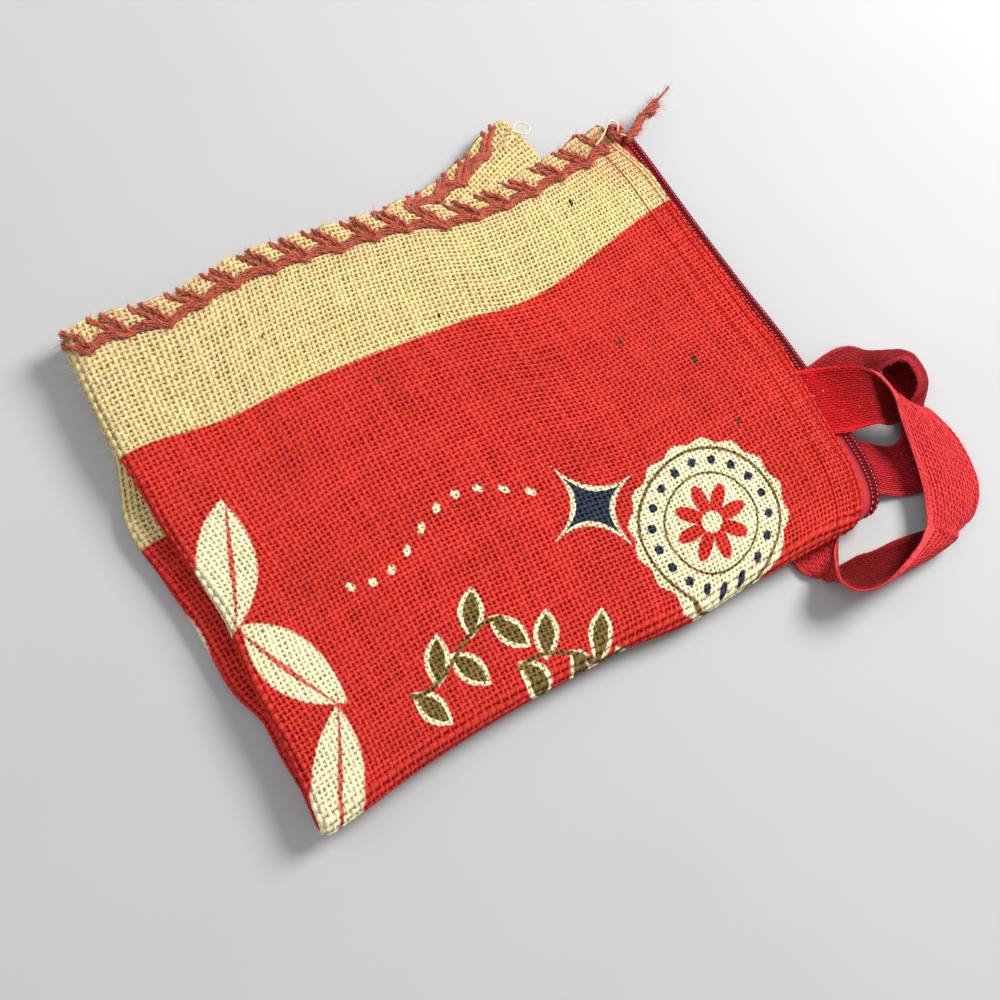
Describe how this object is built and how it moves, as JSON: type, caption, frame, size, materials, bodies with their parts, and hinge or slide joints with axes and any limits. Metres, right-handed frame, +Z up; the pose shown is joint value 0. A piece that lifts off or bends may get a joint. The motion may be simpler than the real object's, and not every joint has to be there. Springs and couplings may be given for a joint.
{
  "type": "burlap bag",
  "caption": "Burlap bag with a printed panel, a zip along its mouth and webbing carry handles, folded flat into a thick pad and lying on a surface",
  "frame": {"origin": "on the surface that the bag lies on, below the middle of the bounding box", "axes": "+X from the height fold to the zipped mouth and its handles, +Y from the centre fold to the overcast side seams, +Z up out of the stack of plies"},
  "size_m": [0.3068, 0.2372, 0.0193],
  "materials": {
    "burlap": "coarse plain weave, matte, printed with a red field",
    "zip_tape": "fine smooth woven tape",
    "zip_coil": "dark red nylon, slight sheen",
    "webbing": "soft ribbed cotton"
  },
  "bodies": {
    "root": {"burlap_body": "burlap", "zip_tape_front": "zip_tape", "zip_tape_back": "zip_tape", "zip_coil": "zip_coil", "handle_front": "webbing", "handle_back": "webbing"}
  },
  "joints": []
}
